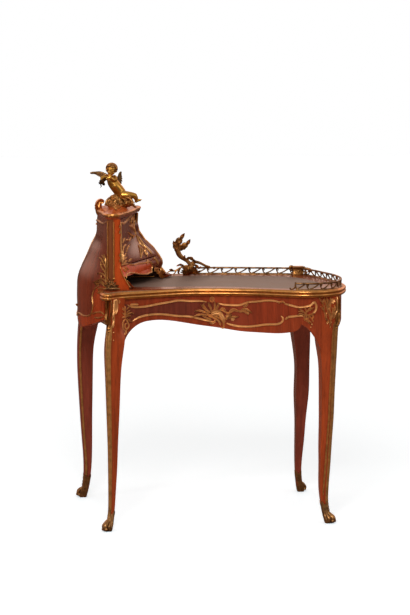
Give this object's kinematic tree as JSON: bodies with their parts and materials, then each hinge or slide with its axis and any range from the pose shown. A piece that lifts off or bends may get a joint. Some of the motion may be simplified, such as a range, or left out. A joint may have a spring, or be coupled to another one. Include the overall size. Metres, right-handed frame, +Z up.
{
  "type": "bonheur du jour",
  "caption": "Small kidney-shaped writing desk on cabriole legs with a frieze drawer, a bombe side cabinet, gilt mounts, a pierced gallery and a winged child finial.",
  "frame": {"origin": "on the floor under the middle of the part's bounding box", "axes": "+X to the sitter's right, along the length of the top; +Y to the back; +Z up"},
  "size_m": [0.8611, 0.6364, 1.1515],
  "materials": {
    "kingwood": "gloss",
    "oak": "satin",
    "gilt_bronze": "satin",
    "brass": "satin",
    "leather": "satin"
  },
  "bodies": {
    "carcase": {"cabinet_back": "oak", "cabinet_cornice": "gilt_bronze", "cabinet_post": "kingwood", "cabinet_side": "kingwood", "cabinet_stile": "kingwood", "cabinet_top": "kingwood", "chute_front_left": "gilt_bronze", "chute_front_right": "gilt_bronze", "dust_board": "oak", "figure": "gilt_bronze", "figure_base": "gilt_bronze", "fillet_back_left": "gilt_bronze", "fillet_back_right": "gilt_bronze", "fillet_front_left": "gilt_bronze", "fillet_front_right": "gilt_bronze", "frame_left": "gilt_bronze", "frame_right": "gilt_bronze", "gallery_back": "gilt_bronze", "gallery_block": "gilt_bronze", "gallery_branch": "gilt_bronze", "gallery_end": "gilt_bronze", "gallery_front": "gilt_bronze", "hinge_fixed": "brass", "hinge_pins": "brass", "leg_back_left": "kingwood", "leg_back_right": "kingwood", "leg_front_left": "kingwood", "leg_front_right": "kingwood", "post_fillets": "gilt_bronze", "rail_back": "kingwood", "rail_front_left": "kingwood", "rail_front_right": "kingwood", "rail_left": "oak", "rail_right": "kingwood", "runner_left": "oak", "runner_right": "oak", "sabot_back_left": "gilt_bronze", "sabot_back_right": "gilt_bronze", "sabot_front_left": "gilt_bronze", "sabot_front_right": "gilt_bronze", "shelf_lower": "oak", "shelf_upper": "oak", "side_frame": "gilt_bronze", "top_banding": "kingwood", "top_board": "oak", "top_leather": "leather", "top_rim": "gilt_bronze"},
    "frieze_drawer": {"drawer_front": "kingwood", "drawer_side_left": "oak", "drawer_side_right": "oak", "drawer_back": "oak", "drawer_bottom": "oak", "drawer_frame": "gilt_bronze", "drawer_clasp": "gilt_bronze"},
    "cabinet_door": {"door_panel": "kingwood", "door_frame": "gilt_bronze", "hinge_moving": "brass"},
    "small_drawer": {"small_drawer_front": "kingwood", "small_drawer_box": "oak", "small_drawer_lines": "gilt_bronze"}
  },
  "joints": [
    {"name": "frieze_drawer_slide", "type": "slide", "parent": "carcase", "child": "frieze_drawer", "axis": [0, -1, 0], "range_m": [0, 0.22]},
    {"name": "cabinet_door_hinge", "type": "hinge", "parent": "carcase", "child": "cabinet_door", "pos_m": [-0.31576, -0.17364, 0.9], "axis": [0, 0, -1], "range_deg": [0, 95]},
    {"name": "small_drawer_slide", "type": "slide", "parent": "carcase", "child": "small_drawer", "axis": [0.9003, -0.4352, 0], "range_m": [0, 0.075]}
  ]
}
